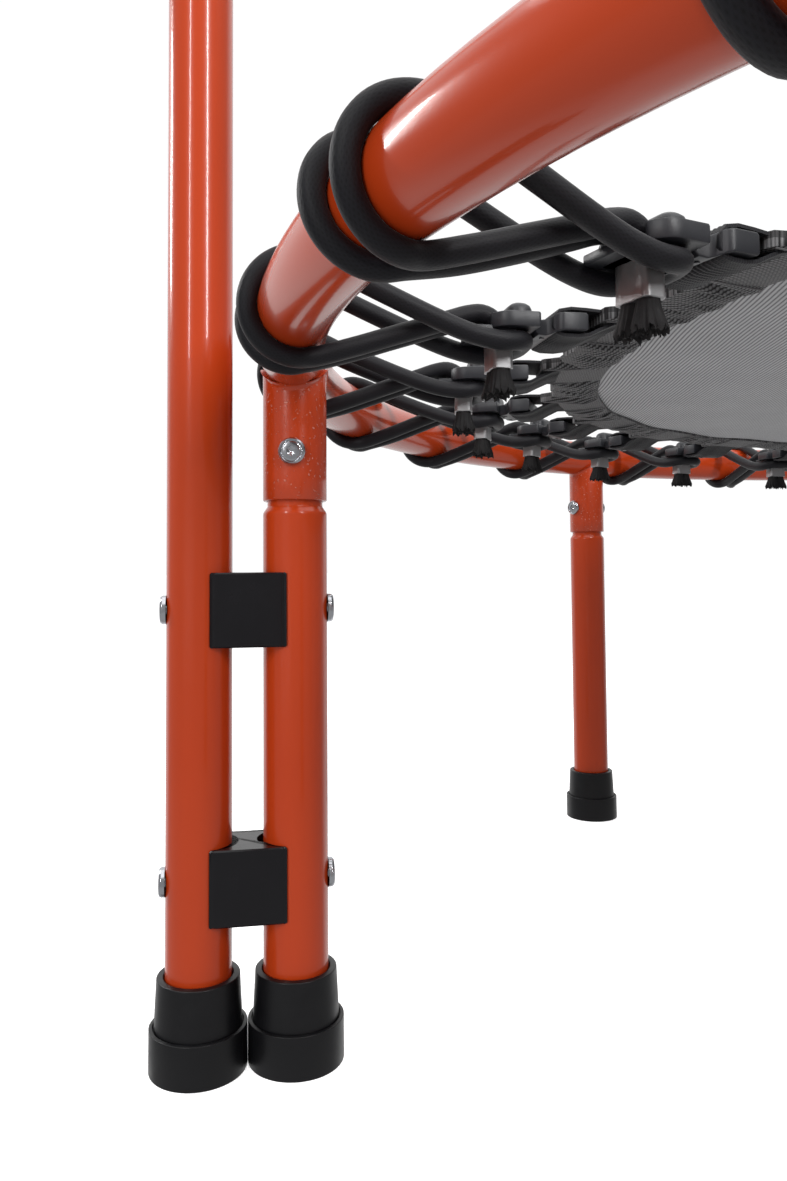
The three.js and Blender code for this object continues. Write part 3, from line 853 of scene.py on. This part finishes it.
def strand_points(side, sag):
    """Half of the cord's route in mm: from the ferrule through the hook, round the ring and back."""
    near = side * 4.5
    low = sag if side < 0 else 0.0
    points = [
        (FERRULE_PLACE, side * 3.5, 323),
        (FERRULE_PLACE, side * 3.5, 331),
        (405.2, side * 4.1, 338.3),
        (408.2, near, 343.6),
        (413.0, near, 346.0),
        (419, near, 345.4 - low * 0.3),
        (428, near * 1.02, 342.6 - low * 0.6),
        (450, near * 1.04, 335.6 - low),
        (470, near * 1.04, 329.2 - low * 0.7),
    ]
    reach = TUBE_RADIUS + CORD_SECTION - 0.15
    for k in range(11):
        t = k / 10
        a = math.radians(-107 + 223 * t)
        spread = side * (4.6 + 11.4 * t**0.6)
        points.append((RING_RADIUS + reach * math.cos(a), spread, RING_HEIGHT + reach * math.sin(a)))
    points += [
        (470, side * 15.4, 355.6),
        (450, side * 15.0, 346.6),
        (434, side * 14.7, 339.8),
        (421, side * 14.5, 335.1),
        (411, side * 14.3, 332.9),
        (404, side * 13.7, 332.7),
        (398.8, side * 11.8, 333.5),
        (396.0, side * 8.2, 334.0),
    ]
    return points


def cord_route(sag):
    return strand_points(1, sag) + [(395.0, 0, 333.9)] + list(reversed(strand_points(-1, sag)))


def make_cords():
    """Each loop differs a little: how low its strand lies, and where it sits on the ring."""
    chance = np.random.default_rng(7)
    for i in range(CORD_COUNT):
        path, lengths = smooth_path(cord_route(chance.uniform(0.0, 1.8)), 1.7)
        drift = chance.uniform(-1.2, 1.2)
        slide = np.clip((path[:, 0] - 440) / 60, 0, 1)
        path[:, 1] += drift * slide * slide * (3 - 2 * slide)
        bm = bmesh.new()
        from_end = np.minimum(lengths, lengths[-1] - lengths)
        section = np.interp(from_end, [11, 17], [3.3, CORD_SECTION])
        add_tube(bm, path * MM, section * MM, 18, lengths * MM + i * 0.003)
        name = f"cord_loop_{i + 1:02d}"
        obj = mesh_object(name, bm, CORD, 60)
        azimuth = CORD_AZIMUTH + 360 * i / CORD_COUNT
        obj.data.transform(Matrix.Rotation(math.radians(azimuth), 4, "Z"))
        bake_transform(obj)
        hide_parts(f"bungee_{i + 1:02d}")


# ---------------------------------------------------------------- hooks, ferrules, mat


def inset(loop, distance):
    """Moves each point of a plane outline inwards. The outline runs anticlockwise."""
    out = []
    count = len(loop)
    for i, p in enumerate(loop):
        along = (loop[(i + 1) % count] - loop[i - 1]).normalized()
        out.append(p + Vector((-along.y, along.x)) * distance)
    return out


def add_slab(bm, loop, low, high, edge=0.7):
    """A plane outline in mm made solid between two heights, with softened edges."""
    levels = [(low, edge), (low + edge * 0.3, edge * 0.3), (low + edge, 0)]
    levels += [(high - edge, 0), (high - edge * 0.3, edge * 0.3), (high, edge)]
    loops = [[Vector((p.x, p.y, z)) * MM for p in inset(loop, depth)] for z, depth in levels]
    add_loft(bm, loops)


def make_hook_mesh():
    """The moulded hook: a crossbar for the strap, a waisted plate, a wide head over the cord and a nose."""
    bm = bmesh.new()
    head = outline(
        [
            (391, -17.6, 1.5),
            (407, -17.6, 9),
            (413, -9.4, 6),
            (400.6, -9.2, 2),
            (400.6, 9.2, 2),
            (413, 9.4, 6),
            (407, 17.6, 9),
            (391, 17.6, 1.5),
        ],
        10,
    )
    add_slab(bm, head, 338.2, 344.8, 0.9)
    dome = [(0.0, 5.6), (3.4, 5.5), (5.0, 4.8), (6.1, 3.4), (6.7, 1.8), (6.8, 0.5)]
    loops = []
    for rise, half in dome:
        corners = [(-half, -half - 5), (half, -half - 5), (half, half + 5), (-half, half + 5)]
        ring = outline([(x, y, half * 0.98) for x, y in corners], 7)
        loops.append([Vector((POST_PLACE + p.x, p.y, 344.4 + rise)) * MM for p in ring])
    add_loft(bm, loops)
    stations = [
        (399.0, 9.0, 339.0, 341.0),
        (392.0, 10.6, 338.4, 342.6),
        (390.4, 11.6, 336.4, 342.7),
        (387.5, 12.4, 335.9, 343.0),
        (385.4, 13.6, 336.3, 343.8),
        (383.6, 16.6, 336.9, 344.6),
        (382.4, 17.7, 337.1, 344.8),
        (381.0, 18.0, 337.3, 344.9),
        (371.6, 18.0, 337.4, 344.9),
        (370.6, 17.6, 337.9, 344.4),
    ]
    loops = []
    for r, half, low, high in stations:
        ring = outline([(-half, low, 0.7), (half, low, 0.7), (half, high, 0.7), (-half, high, 0.7)], 3)
        loops.append([Vector((r, p.x, p.y)) * MM for p in ring])
    add_loft(bm, loops)
    nose = outline(
        [
            (399.6, -12, 1),
            (418, -12, 1.2),
            (418, 12, 1.2),
            (399.6, 12, 1),
            (399.6, 8.8, 0.5),
            (411.6, 8.8, 0.8),
            (411.6, -8.8, 0.8),
            (399.6, -8.8, 0.5),
        ]
    )
    add_slab(bm, nose, 336.0, 339.8, 0.6)
    web = outline([(399.5, -9, 1), (400.4, -9, 0.4), (400.4, 9, 0.4), (399.5, 9, 1)])
    add_slab(bm, web, 330.5, 341, 0.3)
    for s in (-7.5, 7.5):
        mark = [Vector((387.6 + 1.1 * math.cos(a), s + 1.1 * math.sin(a))) for a in angles(16)]
        add_slab(bm, mark, 335.6, 336.6, 0.15)
    return mesh_object("hook_01", bm, HOOK_PLASTIC, 32)


def make_ferrule_mesh():
    """The crimped sleeve round both ends of the cord, squared, with a pinched middle and a rim."""
    bm = bmesh.new()
    loops = []
    levels = [(322.9, -0.9), (322.6, -0.4), (322.9, 0), (326, -0.1), (332, -0.1), (335.4, 0), (335.8, -0.5)]
    for z, grow in levels:
        loop = []
        for a in angles(72):
            x = math.copysign(abs(math.cos(a)) ** 0.42, math.cos(a))
            y = math.copysign(abs(math.sin(a)) ** 0.42, math.sin(a))
            pinch = 0.55 * math.exp(-((y * 7.3 / 1.8) ** 2))
            crease = 0.1 * math.sin(9 * a + 0.3 * z)
            out = (4.8 + grow - pinch + crease) * x
            loop.append(Vector((FERRULE_PLACE + out, (7.9 + grow + crease) * y, z)) * MM)
        loops.append(loop)
    add_loft(bm, loops)
    return mesh_object("ferrule_01", bm, ALUMINIUM, 28)


def make_fray_mesh():
    """The two cut ends of the cord below the ferrule: the sheath flares and its yarns end raggedly."""
    bm = bmesh.new()
    levels = [(324, 3.6), (322, 3.9), (319.5, 4.4), (317, 5.0), (314.5, 5.6), (312.6, 6.0)]
    levels += [(313.6, 4.8), (314.4, 1.0)]
    for s in (-1, 1):
        loops = []
        for k, (z, r) in enumerate(levels):
            loop = []
            ragged = max(0.0, min(1.0, (k - 2) / 3))
            across = s * (3.6 + 0.7 * ragged)
            for a in angles(60):
                rib = 1 + 0.035 * math.sin(15 * a + s) + 0.03 * ragged * math.sin(23 * a + 2)
                drop = 0.9 * math.sin(7 * a + s) + 0.7 * math.sin(15 * a + 1) + 0.6 * math.sin(26 * a)
                x = FERRULE_PLACE + r * rib * math.cos(a)
                loop.append(Vector((x, across + r * 0.94 * rib * math.sin(a), z + ragged * drop)) * MM)
            loops.append(loop)
        add_loft(bm, loops)
    chance = np.random.default_rng(3)
    for k in range(46):
        s = 1 if k % 2 else -1
        a = chance.uniform(0, math.tau)
        r = chance.uniform(1.5, 5.6)
        start = Vector((FERRULE_PLACE + r * math.cos(a), s * 4.3 + r * math.sin(a), 314.5))
        lean = Vector((math.cos(a), math.sin(a), 0)) * chance.uniform(0.0, 1.3)
        end = start + lean + Vector((0, 0, -chance.uniform(1.6, 3.4)))
        add_tube(bm, [start * MM, (start + end) / 2 * MM, end * MM], 0.28 * MM, 5)
    return mesh_object("cord_ends_01", bm, CORD_END, 40)


def make_strap_mesh():
    """Ribbed webbing: from the border, under the crossbar, up round it and back over it."""
    bm = bmesh.new()
    path = [(350, 343.2), (358, 341.6), (364, 339.0), (369, 336.6), (374, 335.8), (380, 335.9)]
    path += [(383.2, 336.8), (384.6, 339.4), (384.4, 343)]
    path += [(382, 346.2), (377, 347.2), (370, 347.0), (362, 346.4), (350, 346)]
    thick = 1.2
    ribs = 15
    columns = [i / (ribs * 5) for i in range(ribs * 5 + 1)]
    loops = []
    for k, (r, z) in enumerate(path):
        before = Vector(path[max(k - 1, 0)])
        after = Vector(path[min(k + 1, len(path) - 1)])
        along = (after - before).normalized()
        loop = []
        for face, shares in ((1, columns), (-1, columns[::-1])):
            for t in shares:
                rib = 0.3 * abs(math.sin(math.pi * ribs * t)) if face > 0 else 0.0
                lift = thick / 2 * face + rib
                across = (t - 0.5) * STRAP_WIDTH
                loop.append(Vector((r + along.y * lift, across, z - along.x * lift)) * MM)
        loops.append(loop)
    add_loft(bm, loops)
    return mesh_object("strap_01", bm, WEBBING, 50)


def make_hooks():
    sources = [
        (make_hook_mesh(), "hook", "hook_plastic"),
        (make_ferrule_mesh(), "ferrule", "bright_steel"),
        (make_fray_mesh(), "cord_ends", "elastic_cord"),
        (make_strap_mesh(), "strap", "webbing"),
    ]
    for i in range(CORD_COUNT):
        matrix = Matrix.Rotation(math.radians(CORD_AZIMUTH + 360 * i / CORD_COUNT), 4, "Z")
        for source, name, slot in sources:
            obj = source if i == 0 else instance(f"{name}_{i + 1:02d}", source.data)
            obj.matrix_world = matrix
            put(obj, "mat", None)


def fold(x, phase):
    """A soft wave of unit height, used for the folds of the border."""
    swell = 0.6 * math.sin(x + phase)
    return swell + 0.3 * math.sin(2.3 * x + 1.7 * phase) + 0.1 * math.sin(5.1 * x + phase)


def smooth_step(low, high, x):
    t = min(1.0, max(0.0, (x - low) / (high - low)))
    return t * t * (3 - 2 * t)


def border_place(azimuth):
    """Sideways offset in mm from the nearest hook, and that hook's number."""
    turn = (azimuth - CORD_AZIMUTH) / (360 / CORD_COUNT)
    nearest = round(turn)
    return math.radians((turn - nearest) * 360 / CORD_COUNT) * POCKET_RADIUS, nearest % CORD_COUNT


def border_point(azimuth, t, top):
    """A point on the border: t runs from the seam at the mesh to the outer edge."""
    across, number = border_place(azimuth)
    pocket = 1 - smooth_step(17, 21, abs(across - 1.5 * math.sin(number * 2.1)))
    slack = 1 - pocket
    pleat = fold(across / (3.6 + 0.5 * math.sin(number * 1.9)) + 1.4 * t, number * 1.3)
    tuck = math.exp(-(((abs(across) - 23.5) / 3) ** 2))
    outer = 355.5 + 8.5 * pocket + slack * (1.2 * pleat + 1.5 * math.sin(number * 2.7 + 0.12 * across))
    inner = MESH_RADIUS - MESH_EDGE
    r = inner + (outer - inner) * t
    swell = math.sin(math.pi * min(1.0, t * 1.05)) ** 0.7 if t < 0.95 else 0.0
    if top:
        z = 347.4 + 1.2 * swell + slack * 1.6 * pleat * swell
        return polar(azimuth, r, 0, z)
    flat = 343.2 - 1.2 * t - 0.8 * swell
    loose = 342.6 - 1.4 * swell + 3.2 * pleat * math.sin(math.pi * min(1.0, t + 0.1)) + 3.4 * tuck * t
    return polar(azimuth, r, 0, min(flat * pocket + loose * slack, 346.4))


def make_border():
    """The dark hem: folded mesh, flat and wide under each strap and gathered into folds between them."""
    bm = bmesh.new()
    steps = CORD_COUNT * 56
    across = [k / 13 for k in range(14)]
    loops = []
    for i in range(steps):
        azimuth = 360 * i / steps
        loop = [border_point(azimuth, t, False) for t in across]
        loop += [border_point(azimuth, t, True) for t in reversed(across)]
        loops.append(loop)
    add_loft(bm, loops, cyclic=True)
    border = mesh_object("mat_border", bm, BORDER, 70)
    put(border, "mat", None)


def make_seams():
    """Raised rows of stitching: two along each side of every strap pocket, and one round the mesh."""
    bm = bmesh.new()
    for i in range(CORD_COUNT):
        middle = CORD_AZIMUTH + 360 * i / CORD_COUNT
        for side in (-1, 1):
            points = []
            for k in range(13):
                t = 0.04 + 0.92 * k / 12
                wide = 20.5 - 4.5 * t + 0.4 * fold(6 * t, i * side)
                azimuth = middle + math.degrees(side * wide / POCKET_RADIUS)
                points.append(border_point(azimuth, t, False) + Vector((0, 0, -0.15 * MM)))
            add_tube(bm, points, 0.42 * MM, 6)
    ring = [polar(360 * k / 720, MESH_RADIUS + 1.2, 0, 343.3) for k in range(721)]
    add_tube(bm, ring, 0.4 * MM, 6)
    seams = mesh_object("mat_stitching", bm, THREAD, 60)
    put(seams, "mat", None)


def make_mat():
    """The stretched mesh: a thin disc that puckers towards each strap near its seam."""
    bm = bmesh.new()
    thin = 0.7
    steps = 288
    edge = MESH_RADIUS + MESH_EDGE
    radii = [0.5] + [MESH_RADIUS * k / 40 for k in range(1, 41)] + [edge]
    loops = []
    for side, order in ((1, radii), (-1, radii[::-1])):
        for r in order:
            near = smooth_step(MESH_RADIUS - 60, MESH_RADIUS, r)
            loop = []
            for i in range(steps):
                azimuth = 360 * i / steps
                ripple = 0.55 * near * math.cos(math.radians(azimuth - CORD_AZIMUTH) * CORD_COUNT)
                loop.append(polar(azimuth, r, 0, MAT_HEIGHT + side * thin + ripple))
            loops.append(loop)
    add_loft(bm, loops)
    mat = mesh_object("mat_cloth", bm, MESH, 40)
    put(mat, "mat", "jump_mat")
    make_border()
    make_seams()


# ---------------------------------------------------------------- stage


def make_floor():
    """A white floor that throws no light back on the object."""
    bm = bmesh.new()
    bmesh.ops.create_grid(bm, x_segments=8, y_segments=8, size=40)
    n = MaterialNodes("floor", Emission_Color=rgba(1.0, 1.0, 1.0), Emission_Strength=0.72)
    colour = n.mix(n.noise(2, 2), rgba(0.86, 0.86, 0.86), rgba(0.9, 0.9, 0.9))
    floor = mesh_object("floor", bm, n.finish(Base_Color=colour, Roughness=0.8))
    floor.visible_diffuse = False
    floor.visible_glossy = False


def make_studio():
    """A studio that the camera sees as white, and the object as white behind it and dimmer elsewhere."""
    world = bpy.data.worlds.new("studio")
    bpy.context.scene.world = world
    world.use_nodes = True
    n = Nodes(world.node_tree, "Generated")
    azimuth = math.radians(CAMERA_AZIMUTH)
    along = n.add("ShaderNodeVectorMath", operation="DOT_PRODUCT")
    n.link(n.place, along.inputs[0])
    n.link((math.cos(azimuth), math.sin(azimuth), 0.0), along.inputs[1])
    behind = n.remap(along.outputs["Value"], 0.35, 0.62, STUDIO_DIM, STUDIO_BRIGHT, "SMOOTHSTEP")
    below = n.remap(n.split(n.place)["Z"], -0.4, 0.0, STUDIO_BELOW, 0.0, "SMOOTHSTEP")
    seen = n.add("ShaderNodeLightPath").outputs["Is Camera Ray"]
    background = n.tree.nodes["Background"]
    n.link(rgba(1.0, 1.0, 1.0), background.inputs["Color"])
    strength = n.math("MAXIMUM", n.math("MAXIMUM", behind, below), seen)
    n.link(strength, background.inputs["Strength"])


def make_light(name, place, target, size, power, reflected=True):
    """A rectangular lamp, its place, target and size in metres and its power in watts."""
    data = bpy.data.lights.new(name, "AREA")
    data.shape = "RECTANGLE"
    data.size, data.size_y = size
    data.energy = power
    light = bpy.data.objects.new(name, data)
    bpy.context.scene.collection.objects.link(light)
    aim = (Vector(target) - Vector(place)).to_track_quat("-Z", "Y")
    light.matrix_world = Matrix.Translation(Vector(place)) @ aim.to_matrix().to_4x4()
    light.visible_glossy = reflected


make_ring()
make_sockets()
make_legs()
make_feet()
make_bolts()
make_spacers()
make_uprights()
make_knobs()
make_handlebar()
make_cords()
make_hooks()
make_mat()
make_floor()
make_studio()
make_light("key", (1.5, -0.34, 1.35), (-0.25, -0.42, 0.4), (0.12, 1.25), 25)
make_light("side", (0.8, -2.17, 1.4), (-0.25, -0.42, 0.4), (0.1, 1.25), 16)
make_light("left", (-1.65, -1.43, 1.2), (-0.03, -0.5, 0.35), (0.13, 0.6), 14)
make_light("low_fill", (0.5, -1.7, 0.12), (-0.2, -0.45, 0.1), (0.9, 0.3), 6, reflected=False)
make_light("top", (0.0, 0.0, 3.0), (0, 0, 0), (4.0, 4.0), 75)
bpy.context.scene.view_settings.view_transform = "Standard"
